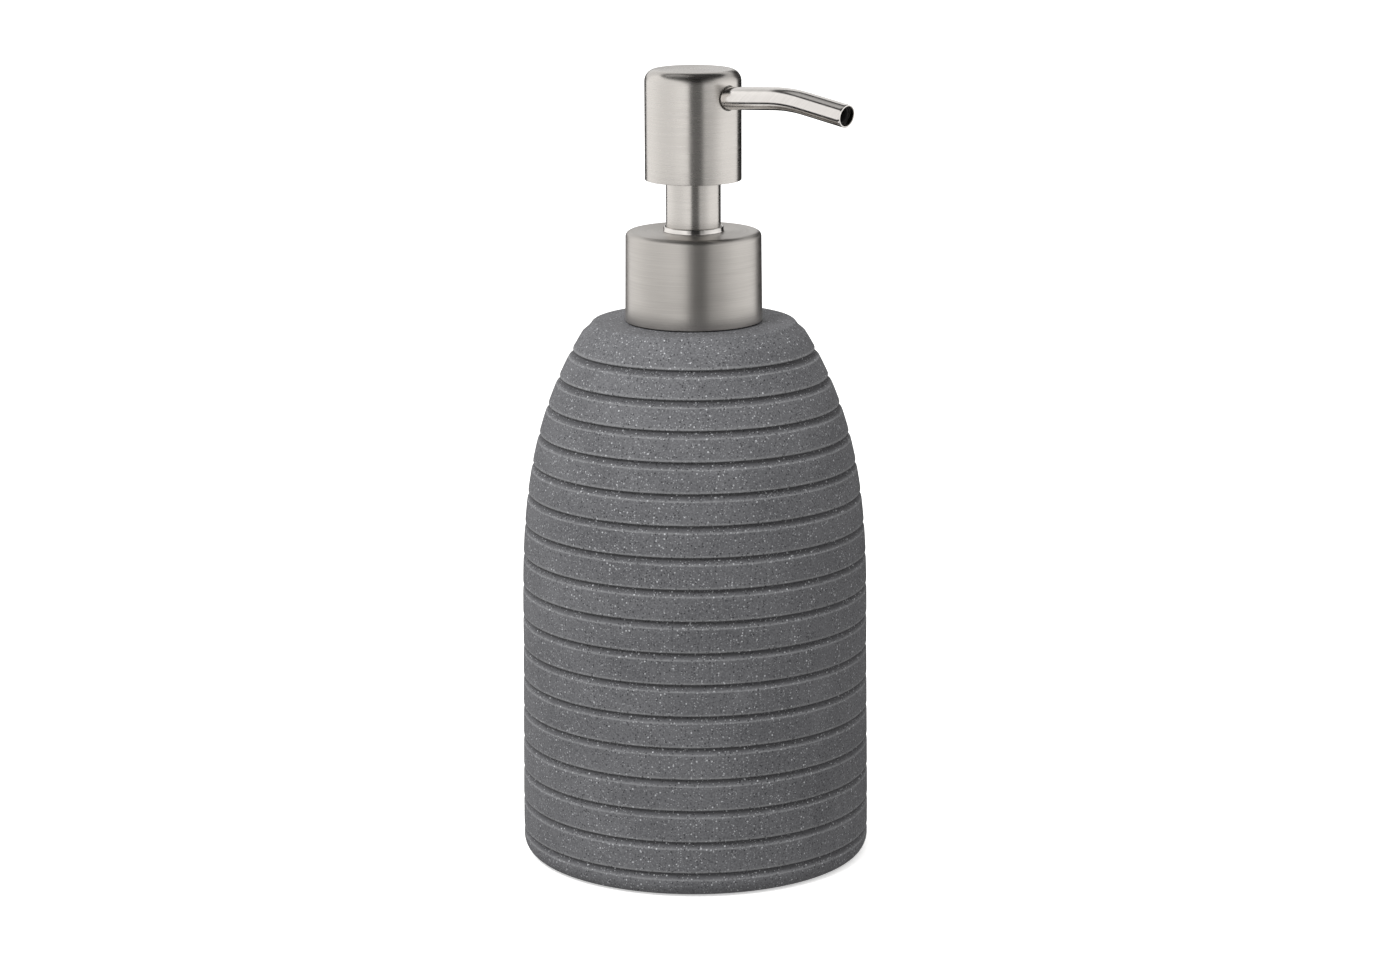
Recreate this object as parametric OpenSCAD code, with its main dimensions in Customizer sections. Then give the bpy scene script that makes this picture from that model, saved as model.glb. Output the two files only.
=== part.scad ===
// Soap pump dispenser: a ribbed stone-resin bottle with a steel lotion pump.
// Millimetres, +Z up. The origin is the centre of the foot pad's underside, on the bottle's axis.
// The nozzle points along +X.

/* [Bottle] */
// Widest diameter of the bottle
body_d = 80; // [76:0.5:90]
// Height of the bottle's flat top above the table
body_h = 124; // [118:1:140]
// Thickness of the resin wall
shell_wall = 4.4; // [3.6:0.1:5.5]
// How much the wall leans in between its widest point and the shoulder
wall_draft = 0.4; // [0:0.05:1]
// Height at which the wall starts to curve in to the shoulder
fall_z = 50; // [40:1:60]
// How far the shoulder has come in at the flat top
shoulder_fall = 15.85; // [12:0.05:18]
// How late the shoulder turns in: a higher power keeps the wall straight for longer
shoulder_power = 3.1; // [2.5:0.1:3.6]
// Radius of the rounded bottom edge
base_round = 1.6; // [1:0.1:2.5]
// Thickness of the foam pad under the bottle
pad_h = 1; // [0.8:0.1:2]

/* [Ribs] */
// Number of ring grooves that part the bands
groove_count = 17; // [12:1:17]
// Height of the lowest groove
first_groove_z = 5.55; // [5:0.05:8]
// Distance between grooves, measured along the wall
groove_pitch = 7.25; // [6.5:0.05:7.3]
// Share by which the pitch has narrowed at the flat top
pitch_narrowing = 0.064; // [0:0.002:0.1]
// Depth of a groove
groove_depth = 0.75; // [0.4:0.05:1]

/* [Neck thread] */
// Outside radius of the neck
neck_r = 12.5; // [12:0.1:12.8]
// Radius of the neck's bore
neck_bore_r = 10.6; // [10.4:0.1:10.8]
// Height of the neck above the bottle's flat top
neck_h = 12.5; // [12:0.1:13]
// Rise of the thread in one turn
thread_pitch = 4.233; // [4.1:0.001:4.4]
// Radius over the neck's thread
neck_thread_r = 13.55; // [13.3:0.05:13.6]
// Radius inside the cap's thread
cap_thread_r = 12.85; // [12.8:0.05:13]

/* [Pump] */
// Stroke of the head
stroke = 10; // [6:0.5:10]
// Bore radius of the piston cylinder
cylinder_r = 5.6; // [5.5:0.05:6]
// Outside radius of the plastic stem
stem_r = 3.5; // [3.3:0.05:3.6]
// Radius of the inlet ball
ball_r = 2; // [1.8:0.05:2.05]
// How far the piston floats on its rod
piston_float = 1.2; // [0.8:0.1:1.2]
// Outside radius of the dip tube
dip_r = 3; // [2.6:0.1:3]
// Wire diameter of the return spring
spring_wire = 0.9; // [0.7:0.05:0.9]

/* [Collar] */
// Outside radius of the collar at its lower edge
collar_r = 15.54; // [15.4:0.02:16.5]
// Height of the steel collar
collar_h = 20.3; // [20:0.1:22]
// Sheet thickness of the steel covers
sheet = 0.5; // [0.4:0.05:0.55]

/* [Head] */
// Outside radius of the head
head_r = 10.89; // [10.8:0.01:12]
// Height of the head
head_h = 24.85; // [24:0.05:27]
// Radius of the head's rounded top edge
head_round = 2.7; // [1.5:0.1:3.2]
// Outside radius of the steel sleeve round the stem
sleeve_r = 6.19; // [6:0.01:6.2]
// Outside radius of the nozzle tube
nozzle_r = 2.55; // [2.3:0.05:2.6]
// Upward slope of the nozzle where it leaves the head
nozzle_rise = 4; // [0:0.5:6]
// Angle that the nozzle bends down by
nozzle_bend = 12.8; // [5:0.1:30]
// Length of the nozzle from the pump's axis to the bend
nozzle_run = 24.3; // [20:0.1:35]
// Length of the straight end behind the bend
nozzle_end = 11.9; // [8:0.1:20]

/* [Hidden] */
$fn = 96;

running_gap = 0.06;      // radial clearance where one piece slides or turns in another
fit_gap = 0.1;           // clearance between pieces that are glued or pressed together
past = 1;                // how far a cutting shape runs past what it cuts

// Bottle
body_r = body_d / 2;
base_z = 0.3;            // the resin hangs this far above the table
draft_z = 13;            // widest point
wall_steps = 8;          // height of one step of the inner curve
cavity_top_z = body_h - 5;
top_edge = 1;            // rounding of the flat top's rim
pad_r = body_r - 3.4;
liner_wall = 1.3;
liner_gap = 0.3;
liner_z = pad_h + 3.5;
neck_z = body_h + neck_h;
neck_hole_r = neck_r + 1.5;
groove_h = 1.7;          // from the sharp edge above to the foot of the bevel below
groove_lip = 0.35;       // the sharp edge's height over the groove's centre

// Neck stack
gasket_h = 0.8;
flange_z = neck_z + gasket_h;
flange_h = 1.5;
flange_r = 13.2;
guide_flange_z = flange_z + flange_h;
guide_flange_h = 1.2;
cap_top_z = guide_flange_z + guide_flange_h + fit_gap;
cap_top_h = 1.9;
thread_turns = 1.25;
thread_z = body_h + 3.4;
thread_steps = 36;       // flats in one turn of a thread
thread_fade = 5;         // flats over which a thread's end thins out

// Collar
collar_z = body_h + 0.25;
collar_top_z = collar_z + collar_h;
collar_draft = 0.18;
collar_round = 1.2;
cap_r = collar_r - collar_draft - sheet - fit_gap - 0.03;
ring_r = sleeve_r + 0.66;
ring_lip = 1.1;

// Pump levels, at rest
barrel_r = neck_bore_r - 0.4;
barrel_wall = 0.8;
cup_bottom_z = body_h - 7;
stop_z = cup_bottom_z - fit_gap;
stop_h = 2;
stem_bottom_z = stop_z - 4.1;
piston_h = 8;
piston_top_z = stem_bottom_z - piston_float - fit_gap;
piston_bottom_z = piston_top_z - piston_h;
rod_r = 2.2;
seal_r = 3.6;
rod_bottom_z = piston_bottom_z - 2.5;
cylinder_top_z = cup_bottom_z - 4.5;
cylinder_bottom_z = rod_bottom_z - stroke - 11;
cage_h = 1;
ball_chamber_r = ball_r + 0.3;
inlet_r = ball_r * 0.6;
seat_z = cylinder_bottom_z - 6.6;
ball_z = seat_z - inlet_r + (ball_r + 0.03) * sqrt(2);
socket_top_z = seat_z - 0.9;
socket_bottom_z = socket_top_z - 8.5;
dip_bottom_z = liner_z + liner_wall + 2.8;
housing_wall = 1.2;
stem_bore_r = 1.9;
spring_r = 3.6;
spring_turns = 8;
air_hole_r = 0.8;
cage_hole_r = 0.6;
flute_w = 1.1;

// Head levels, at rest
head_z = collar_top_z + 11.65;
head_top_z = head_z + head_h;
nozzle_z = head_top_z - 6.55;
core_z = head_z + 1;
core_top_z = head_top_z - 2.9;
core_r = head_r - sheet - fit_gap - 0.09;
stem_top_z = head_z + 13.8;
sleeve_wall = 0.4;
sleeve_bottom_z = collar_top_z - stroke;
sleeve_top_z = core_z + 3;
nozzle_wall = 0.35;
nozzle_bend_r = 42;
nozzle_start = 3;
nozzle_sides = 32;
bend_steps = 8;
rib_w = 1.2;

stone_grey = [0.42, 0.42, 0.43];
steel = [0.78, 0.77, 0.75];
bright_steel = [0.88, 0.88, 0.87];
natural_plastic = [0.92, 0.92, 0.9];
black_foam = [0.12, 0.12, 0.12];

// Outer radius of the bottle at height z, before the grooves are cut
function wall_r(z) = body_r
    - wall_draft * (min(max(z, draft_z), fall_z) - draft_z) / (fall_z - draft_z)
    - shoulder_fall * pow(max(0, z - fall_z) / (body_h - fall_z), shoulder_power);

function wall_slope(z) = wall_r(z + 0.5) - wall_r(z - 0.5);

function pitch_at(z) = groove_pitch * (1 - pitch_narrowing * max(0, z - fall_z) / (body_h - fall_z));

// Height of groove k: equal steps along the wall, a little closer towards the top
function groove_z(k) = k == 0 ? first_groove_z
    : let (below = groove_z(k - 1), middle = below + groove_pitch / 2)
        below + pitch_at(middle) / sqrt(1 + pow(wall_slope(middle), 2));

// The point a distance deep under the wall at height z, square to it
function wall_point(z, deep) = let (slope = wall_slope(z), long = sqrt(1 + slope * slope))
    [wall_r(z) - deep / long, z + deep * slope / long];

// One groove from below: bevel with a soft shoulder, floor, and the sharp edge of the band above
function groove_points(z) = let (low = groove_lip - groove_h)
    [wall_point(z + low, 0), wall_point(z + low * 0.7, groove_depth * 0.12),
     wall_point(z + low * 0.4, groove_depth * 0.45), wall_point(z + low * 0.1, groove_depth * 0.95),
     wall_point(z + groove_lip * 0.6, groove_depth), wall_point(z + groove_lip, 0)];

function band_middle(k) = (groove_z(k) + groove_z(k + 1)) / 2;

// Points of an arc round [x, y], from angle a to angle b
function arc(x, y, r, a, b, steps = 6) =
    [for (i = [0:steps]) let (t = a + (b - a) * i / steps) [x + r * cos(t), y + r * sin(t)]];

// Inner curve that runs a distance inside the wall, from the bottom up to height top
function inner_points(inset, bottom, top) = concat([[wall_r(fall_z) - inset, bottom]],
    [for (z = [fall_z:wall_steps:top - wall_steps / 2]) [wall_r(z) - inset, z]],
    [[wall_r(top) - inset, top]]);

function reversed(list) = [for (i = [len(list) - 1:-1:0]) list[i]];

module tube(outer, inner, bottom, top) {
    translate([0, 0, bottom])
        linear_extrude(top - bottom)
            difference() {
                circle(outer);
                circle(inner);
            }
}

// A ridge of one thread: a tapered section swept up a helix, thinning out at both ends.
// base_r lies in the wall that carries it, and tip_r is its crest
module helix_ridge(base_r, tip_r, base_w, tip_w, start_z) {
    steps = ceil(thread_turns * thread_steps);
    points = [for (i = [0:steps]) let (
            a = 360 * thread_turns * i / steps,
            z = start_z + thread_pitch * thread_turns * i / steps,
            fade = min(1, 0.15 + min(i, steps - i) / thread_fade),
            tip = base_r + (tip_r - base_r) * fade,
            section = tip_r > base_r ? [[base_r, base_w], [tip, tip_w]] : [[tip, tip_w], [base_r, base_w]])
        each [for (corner = [[0, -1], [1, -1], [1, 1], [0, 1]]) let (edge = section[corner[0]])
            [edge[0] * cos(a), edge[0] * sin(a), z + corner[1] * edge[1] / 2]]];
    last = 4 * steps;
    faces = concat([[3, 2, 1, 0], [last, last + 1, last + 2, last + 3]],
        [for (i = [0:steps - 1], j = [0:3]) let (n = (j + 1) % 4)
            [4 * i + j, 4 * i + n, 4 * i + 4 + n, 4 * i + 4 + j]]);
    polyhedron(points, faces);
}

// Lays its children along the nozzle's axis, at a distance along its first straight
module along_nozzle(distance) {
    translate([0, 0, nozzle_z])
        rotate([0, 90 - nozzle_rise, 0])
            translate([0, 0, distance])
                children();
}

// Stations of the nozzle's centre line: [sideways, along, angle turned], the bend going down
function nozzle_stations(start, end) = let (b = nozzle_bend, r = nozzle_bend_r)
    concat([[0, start, 0]],
        [for (i = [0:bend_steps]) let (a = b * i / bend_steps)
            [r * (1 - cos(a)), nozzle_run + r * sin(a), a]],
        [[r * (1 - cos(b)) + end * sin(b), nozzle_run + r * sin(b) + end * cos(b), b]]);

// A bent tube from start on the nozzle's first straight to end on its last one
module nozzle_pipe(outer, inner, start, end) {
    stations = nozzle_stations(start, end);
    count = len(stations);
    points = [for (radius = [outer, inner], s = stations)
        each [for (j = [0:nozzle_sides - 1]) let (t = 360 * j / nozzle_sides, across = radius * cos(t))
            [s[0] + across * cos(s[2]), -radius * sin(t), s[1] - across * sin(s[2])]]];
    bore = count * nozzle_sides;
    last = bore - nozzle_sides;
    faces = [for (j = [0:nozzle_sides - 1]) let (n = (j + 1) % nozzle_sides) each concat(
        [for (i = [0:count - 2]) let (a = nozzle_sides * i)
            [a + j, a + n, a + nozzle_sides + n, a + nozzle_sides + j]],
        [for (i = [0:count - 2]) let (a = bore + nozzle_sides * i)
            [a + n, a + j, a + nozzle_sides + j, a + nozzle_sides + n]],
        [[n, j, bore + j, bore + n], [last + j, last + n, bore + last + n, bore + last + j]])];
    along_nozzle(0) polyhedron(points, faces);
}

// ---- Bottle ----

module bottle_shell() {
    rim_r = wall_r(body_h) - top_edge * 0.3;
    outer = concat(
        arc(wall_r(base_round) - base_round, base_z + base_round, base_round, -90, 0),
        groove_points(groove_z(0)),
        [for (k = [1:groove_count - 1]) each
            concat([wall_point(band_middle(k - 1), 0)], groove_points(groove_z(k)))],
        [wall_point((groove_z(groove_count - 1) + body_h) / 2, 0)],
        arc(rim_r - top_edge, body_h - top_edge, top_edge, 25, 90, 4));
    inner = concat([[neck_hole_r + 0.05, body_h], [neck_hole_r + 0.05, cavity_top_z]],
        reversed(inner_points(shell_wall, pad_h, cavity_top_z)),
        [[pad_r + 0.2, pad_h], [pad_r + 0.2, base_z]]);
    color(stone_grey)
        rotate_extrude() polygon(concat(outer, inner));
}

module liner_bottle() {
    outer_inset = shell_wall + liner_gap;
    liner_top_z = cavity_top_z - liner_gap;
    outer = concat([[0, liner_z]], inner_points(outer_inset, liner_z, liner_top_z),
        [[neck_hole_r, liner_top_z], [neck_hole_r, body_h + 0.6], [neck_r, body_h + 0.6]],
        [[neck_r, neck_z - 0.4], [neck_r - 0.4, neck_z], [neck_bore_r, neck_z]]);
    inner = concat([[neck_bore_r, liner_top_z - liner_wall]],
        reversed(inner_points(outer_inset + liner_wall, liner_z + liner_wall, liner_top_z - liner_wall)),
        [[0, liner_z + liner_wall]]);
    color(natural_plastic) {
        rotate_extrude() polygon(concat(outer, inner));
        helix_ridge(neck_r - 0.3, neck_thread_r, 2.1, 0.9, thread_z);
    }
}

module base_plug() {
    color(stone_grey)
        translate([0, 0, pad_h]) cylinder(h = liner_z - pad_h, r = wall_r(fall_z) - shell_wall - fit_gap);
}

module foot_pad() {
    color(black_foam) cylinder(h = pad_h, r = pad_r);
}

// ---- Pump, still parts ----

module neck_gasket() {
    color("white") tube(flange_r, neck_bore_r, neck_z, flange_z);
}

module pump_housing() {
    spigot_r = dip_r + running_gap + housing_wall;
    outside = [[spigot_r, socket_bottom_z], [spigot_r, seat_z + 3.6],
        [cylinder_r + housing_wall, cylinder_bottom_z - 0.5],
        [cylinder_r + housing_wall, cylinder_top_z - 0.5], [barrel_r, cup_bottom_z - 1],
        [barrel_r, flange_z], [flange_r, flange_z], [flange_r, guide_flange_z]];
    inside = [[barrel_r - barrel_wall, guide_flange_z], [barrel_r - barrel_wall, cup_bottom_z - 0.5],
        [cylinder_r, cylinder_top_z], [cylinder_r, cylinder_bottom_z], [ball_chamber_r, cylinder_bottom_z],
        [ball_chamber_r, seat_z + ball_chamber_r - inlet_r], [inlet_r, seat_z], [inlet_r, socket_top_z],
        [dip_r + running_gap, socket_top_z], [dip_r + running_gap, socket_bottom_z]];
    color(natural_plastic)
        difference() {
            rotate_extrude() polygon(concat(outside, inside));
            translate([0, 0, cup_bottom_z + 3])   // air hole into the bottle
                rotate([0, 90, 0]) cylinder(h = barrel_r + past, r = air_hole_r);
        }
}

module stem_guide() {
    cup_r = barrel_r - barrel_wall - 0.05;
    cup_inner_r = cup_r - 1.15;
    floor_z = cup_bottom_z + 3;
    profile = [[stem_r + running_gap, cup_bottom_z], [cup_r, cup_bottom_z], [cup_r, guide_flange_z],
        [flange_r - 0.6, guide_flange_z], [flange_r - 0.6, guide_flange_z + guide_flange_h],
        [cup_inner_r, guide_flange_z + guide_flange_h], [cup_inner_r, floor_z],
        [stem_r + 1.2, floor_z], [stem_r + running_gap, floor_z - 0.8]];
    color("white") rotate_extrude() polygon(profile);
}

module ball_cage() {
    color("white")
        difference() {
            translate([0, 0, cylinder_bottom_z]) cylinder(h = cage_h, r = cylinder_r - fit_gap);
            for (turn = [0:90:270])
                rotate([0, 0, turn])
                    translate([ball_chamber_r * 0.65, 0, cylinder_bottom_z - past])
                        cylinder(h = cage_h + 2 * past, r = cage_hole_r);
        }
}

module inlet_ball() {
    color(bright_steel) translate([0, 0, ball_z]) sphere(ball_r);
}

// Coil with a closed turn at each end
module return_spring() {
    sides = 8;
    ring_count = 16 * spring_turns;
    low_z = cylinder_bottom_z + cage_h + spring_wire / 2 + 0.05;
    high_z = rod_bottom_z - spring_wire / 2 - 0.05;
    closed_rise = spring_wire * 1.08;
    open_rise = (high_z - low_z - 2 * closed_rise) / (spring_turns - 2);
    function coil_z(t) = low_z + closed_rise * (min(t, 1) + max(0, t - spring_turns + 1))
        + open_rise * max(0, min(t, spring_turns - 1) - 1);
    points = [for (i = [0:ring_count]) let (t = spring_turns * i / ring_count)
        each [for (j = [0:sides - 1]) let (r = spring_r + spring_wire / 2 * cos(360 * j / sides))
            [r * cos(360 * t), r * sin(360 * t), coil_z(t) + spring_wire / 2 * sin(360 * j / sides)]]];
    last = sides * ring_count;
    faces = concat([[for (j = [sides - 1:-1:0]) j], [for (j = [0:sides - 1]) last + j]],
        [for (i = [0:ring_count - 1], j = [0:sides - 1])
            let (a = sides * i + j, b = sides * i + (j + 1) % sides) [a, b, b + sides, a + sides]]);
    color(bright_steel) polyhedron(points, faces);
}

module dip_tube() {
    color(natural_plastic)
        difference() {
            tube(dip_r, dip_r - 0.8, dip_bottom_z, socket_top_z - 0.2);
            translate([-dip_r, 0, dip_bottom_z])   // slanted end, so that it can't seal on the floor
                rotate([0, 45, 0])
                    translate([-3 * dip_r, -2 * dip_r, -4 * dip_r])
                        cube([6 * dip_r, 4 * dip_r, 4 * dip_r]);
        }
}

// ---- Collar ----

module collar_shell() {
    top_r = collar_r - collar_draft;
    inner_r = ring_r + 0.02;
    inner_round = collar_round - sheet;
    profile = concat([[collar_r, collar_z]],
        arc(top_r - collar_round, collar_top_z - collar_round, collar_round, 0, 90),
        [[inner_r, collar_top_z], [inner_r, collar_top_z - sheet]],
        arc(top_r - collar_round, collar_top_z - collar_round, inner_round, 90, 0),
        [[collar_r - sheet, collar_z]]);
    color(steel) rotate_extrude() polygon(profile);
}

module screw_cap() {
    cavity_r = neck_thread_r + 0.4;
    catch_r = flange_r - 0.35;      // holds the pump in the cap when it is unscrewed
    hub_r = ring_r + 0.75;
    profile = [[cap_r, collar_z + 0.35], [cap_r, cap_top_z + cap_top_h], [hub_r + 1.6, cap_top_z + cap_top_h],
        [hub_r + 1.6, collar_top_z - sheet - 0.05], [hub_r, collar_top_z - sheet - 0.05],
        [hub_r, cap_top_z], [cavity_r, cap_top_z], [cavity_r, neck_z], [catch_r, neck_z - 0.3],
        [catch_r, neck_z - 0.7], [cavity_r, neck_z - 1.6], [cavity_r, collar_z + 0.35]];
    color("white") {
        rotate_extrude() polygon(profile);
        helix_ridge(cavity_r + 0.3, cap_thread_r, 2.1, 0.9, thread_z - thread_pitch / 2);
    }
}

module stem_ring() {
    bore = sleeve_r + 0.08;
    lip_z = collar_top_z + ring_lip;
    profile = [[bore, collar_top_z - 3], [ring_r, collar_top_z - 3], [ring_r, collar_top_z],
        [ring_r + 0.1, collar_top_z + 0.02], [ring_r + 0.02, collar_top_z + ring_lip * 0.35],
        [ring_r - 0.15, collar_top_z + ring_lip * 0.7], [ring_r - 0.35, lip_z - 0.08], [bore + 0.12, lip_z],
        [bore, lip_z - 0.1]];
    color(bright_steel) rotate_extrude() polygon(profile);
}

// ---- Plunger ----

module stem_tube() {
    profile = [[stem_bore_r, stem_bottom_z], [stem_r, stem_bottom_z], [stem_r, stop_z - stop_h],
        [stem_r + 1.5, stop_z - stop_h], [stem_r + 1.5, stop_z], [stem_r, stop_z], [stem_r, stem_top_z - 0.4],
        [stem_r - 0.4, stem_top_z], [stem_bore_r, stem_top_z]];
    color("white") rotate_extrude() polygon(profile);
}

module piston_rod() {
    plug_top_z = stem_bottom_z + 7;
    plug_r = stem_bore_r - 0.02;
    profile = [[0, rod_bottom_z - 2], [spring_r - spring_wire / 2 - 0.3, rod_bottom_z - 2],
        [spring_r - spring_wire / 2 - 0.3, rod_bottom_z], [seal_r, rod_bottom_z], [seal_r, rod_bottom_z + 1],
        [rod_r, piston_bottom_z - 0.05], [rod_r, stem_bottom_z], [plug_r, stem_bottom_z],
        [plug_r, plug_top_z - 0.5], [plug_r - 0.5, plug_top_z], [0, plug_top_z]];
    color("white")
        difference() {
            rotate_extrude() polygon(profile);
            for (turn = [0:90:270])     // flutes that carry the soap up into the stem
                rotate([0, 0, turn])
                    translate([rod_r / 2, -flute_w / 2, piston_bottom_z + 1])
                        cube([rod_r, flute_w, plug_top_z]);
        }
}

module piston() {
    lip_r = cylinder_r - 0.05;
    body = lip_r - 0.8;
    bore = rod_r + running_gap;
    profile = [[bore, piston_bottom_z], [lip_r - 0.5, piston_bottom_z], [lip_r, piston_bottom_z + 0.5],
        [lip_r, piston_bottom_z + 1.3], [body, piston_bottom_z + 2.2], [body, piston_top_z - 2.2],
        [lip_r, piston_top_z - 1.3], [lip_r, piston_top_z - 0.5], [lip_r - 0.5, piston_top_z],
        [bore, piston_top_z]];
    color(natural_plastic) rotate_extrude() polygon(profile);
}

// ---- Head ----

module head_shell() {
    inner_r = head_r - sheet - 0.1;
    inner_round = head_round - sheet;
    profile = concat([[head_r - 0.15, head_z], [head_r, head_z + 0.15]],
        arc(head_r - head_round, head_top_z - head_round, head_round, 0, 90, 10), [[0, head_top_z]],
        [[0, head_top_z - sheet]],
        arc(inner_r - inner_round, head_top_z - head_round, inner_round, 90, 0, 10),
        [[inner_r, head_z]]);
    color(steel)
        difference() {
            rotate_extrude() polygon(profile);
            along_nozzle(nozzle_start) cylinder(h = head_r + past, r = nozzle_r + 0.3);
        }
}

module actuator_core() {
    hub_r = 7.4;
    rim_r = core_r - 0.9;
    pocket_top_z = nozzle_z - 4;
    color("white")
        difference() {
            translate([0, 0, core_z]) cylinder(h = core_top_z - core_z, r = core_r);
            difference() {      // pocket round the hub, with ribs left standing
                tube(rim_r, hub_r, core_z - past, pocket_top_z);
                for (turn = [0:60:300])
                    rotate([0, 0, turn])
                        translate([hub_r - past, -rib_w / 2, core_z + rib_w])
                            cube([rim_r - hub_r + 2 * past, rib_w, head_h]);
            }
            translate([0, 0, core_z - past]) cylinder(h = sleeve_top_z - core_z + past, r = sleeve_r + 0.02);
            translate([0, 0, core_z - past])
                cylinder(h = stem_top_z + 0.1 - core_z + past, r = stem_r + running_gap);
            translate([0, 0, core_z]) cylinder(h = nozzle_z + 2.2 - core_z, r = stem_bore_r);
            along_nozzle(0) cylinder(h = head_r + past, r = stem_bore_r - 0.2);
            along_nozzle(nozzle_start - 0.1) cylinder(h = head_r, r = nozzle_r + 0.02);
        }
}

module stem_sleeve() {
    color(steel) tube(sleeve_r, sleeve_r - sleeve_wall, sleeve_bottom_z, sleeve_top_z - 0.05);
}

module nozzle_tube() {
    color(bright_steel) nozzle_pipe(nozzle_r, nozzle_r - nozzle_wall, nozzle_start, nozzle_end);
}

module nozzle_liner() {
    outer = nozzle_r - nozzle_wall - 0.02;
    color(natural_plastic) nozzle_pipe(outer, outer - 0.5, nozzle_start, nozzle_end - 1.5);
}

bottle_shell();
liner_bottle();
base_plug();
foot_pad();
neck_gasket();
pump_housing();
stem_guide();
ball_cage();
inlet_ball();
return_spring();
dip_tube();
collar_shell();
screw_cap();
stem_ring();
stem_tube();
piston_rod();
piston();
head_shell();
actuator_core();
stem_sleeve();
nozzle_tube();
nozzle_liner();
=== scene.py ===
import math

import bmesh
import bpy
from mathutils import Matrix, Vector


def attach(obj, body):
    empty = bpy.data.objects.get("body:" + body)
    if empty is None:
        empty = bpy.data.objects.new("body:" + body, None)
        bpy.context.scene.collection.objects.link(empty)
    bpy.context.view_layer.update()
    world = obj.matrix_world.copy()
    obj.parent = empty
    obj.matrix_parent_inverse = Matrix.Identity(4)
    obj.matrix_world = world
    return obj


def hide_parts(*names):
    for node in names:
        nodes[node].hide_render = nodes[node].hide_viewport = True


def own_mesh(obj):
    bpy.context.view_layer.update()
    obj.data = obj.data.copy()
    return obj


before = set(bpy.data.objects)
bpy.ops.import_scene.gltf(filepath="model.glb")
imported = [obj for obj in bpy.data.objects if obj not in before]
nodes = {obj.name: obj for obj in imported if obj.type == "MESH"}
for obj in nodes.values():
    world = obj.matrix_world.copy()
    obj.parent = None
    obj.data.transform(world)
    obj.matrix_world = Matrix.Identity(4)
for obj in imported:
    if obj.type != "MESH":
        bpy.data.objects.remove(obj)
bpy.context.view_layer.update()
mm = 0.001


# small helpers for node trees

def feed(tree, socket, value):
    if isinstance(value, bpy.types.NodeSocket):
        tree.links.new(value, socket)
    else:
        socket.default_value = value


def addNode(tree, kind, **settings):
    node = tree.nodes.new(kind)
    for name, value in settings.items():
        setattr(node, name, value)
    return node


def calc(tree, operation, *values, clamp=False):
    node = addNode(tree, "ShaderNodeMath", operation=operation, use_clamp=clamp)
    for socket, value in zip(node.inputs, values):
        feed(tree, socket, value)
    return node.outputs[0]


def blendValue(tree, value, fromMin, fromMax, toMin, toMax, smooth=False):
    node = addNode(tree, "ShaderNodeMapRange", interpolation_type="SMOOTHSTEP" if smooth else "LINEAR")
    for socket, given in zip(node.inputs, (value, fromMin, fromMax, toMin, toMax)):
        feed(tree, socket, given)
    return node.outputs[0]


def blendColor(tree, factor, first, second, mode="MIX"):
    node = addNode(tree, "ShaderNodeMix", data_type="RGBA", blend_type=mode)
    feed(tree, node.inputs["Factor"], factor)
    feed(tree, node.inputs[6], first)
    feed(tree, node.inputs[7], second)
    return node.outputs[2]


def openTree(name, kind, inputs, outputs):
    # an empty tree with its sockets: inputs as (name, kind, value), outputs as (name, kind)
    tree = bpy.data.node_groups.new(name, kind)
    for socketName, socketKind, value in inputs:
        socket = tree.interface.new_socket(socketName, in_out="INPUT", socket_type="NodeSocket" + socketKind)
        if value is not None:
            socket.default_value = value
    for socketName, socketKind in outputs:
        tree.interface.new_socket(socketName, in_out="OUTPUT", socket_type="NodeSocket" + socketKind)
    return tree, tree.nodes.new("NodeGroupInput").outputs, tree.nodes.new("NodeGroupOutput").inputs


def placeGroup(tree, group, kind="ShaderNodeGroup", **values):
    node = tree.nodes.new(kind)
    node.node_tree = group
    for name, value in values.items():
        feed(tree, node.inputs[name], value)
    return node.outputs


# patterns that several finishes share

def makeSpecks():
    # scattered grains: one per cell of a given size, of which only a share shows
    tree, given, out = openTree("scatteredGrains", "ShaderNodeTree",
        [("Cell", "Float", 0.7 * mm), ("Share", "Float", 0.2), ("Radius", "Float", 0.25)],
        [("Mask", "Float"), ("Tone", "Float")])
    place = tree.nodes.new("ShaderNodeTexCoord").outputs["Object"]
    cells = addNode(tree, "ShaderNodeTexVoronoi", feature="F1")
    feed(tree, cells.inputs["Vector"], place)
    feed(tree, cells.inputs["Scale"], calc(tree, "DIVIDE", 1.0, given["Cell"]))
    tone = addNode(tree, "ShaderNodeSeparateColor")
    feed(tree, tone.inputs[0], cells.outputs["Color"])
    chosen = calc(tree, "LESS_THAN", tone.outputs[0], given["Share"])
    near = blendValue(tree, cells.outputs["Distance"], given["Radius"],
                      calc(tree, "MULTIPLY", given["Radius"], 0.6), 0.0, 1.0, smooth=True)
    feed(tree, out["Mask"], calc(tree, "MULTIPLY", chosen, near))
    feed(tree, out["Tone"], tone.outputs[1])
    return tree


def makeMouldGrain():
    # the fine tooth that a mould or a foam leaves on a surface
    tree, given, out = openTree("mouldGrain", "ShaderNodeTree",
        [("Grain", "Float", 0.4 * mm), ("Patch", "Float", 8 * mm)],
        [("Height", "Float"), ("Patches", "Float")])
    place = tree.nodes.new("ShaderNodeTexCoord").outputs["Object"]
    for name, size, detail in (("Height", "Grain", 3.0), ("Patches", "Patch", 2.0)):
        noise = tree.nodes.new("ShaderNodeTexNoise")
        feed(tree, noise.inputs["Vector"], place)
        feed(tree, noise.inputs["Scale"], calc(tree, "DIVIDE", 1.0, given[size]))
        feed(tree, noise.inputs["Detail"], detail)
        feed(tree, out[name], noise.outputs[0])
    return tree


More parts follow.
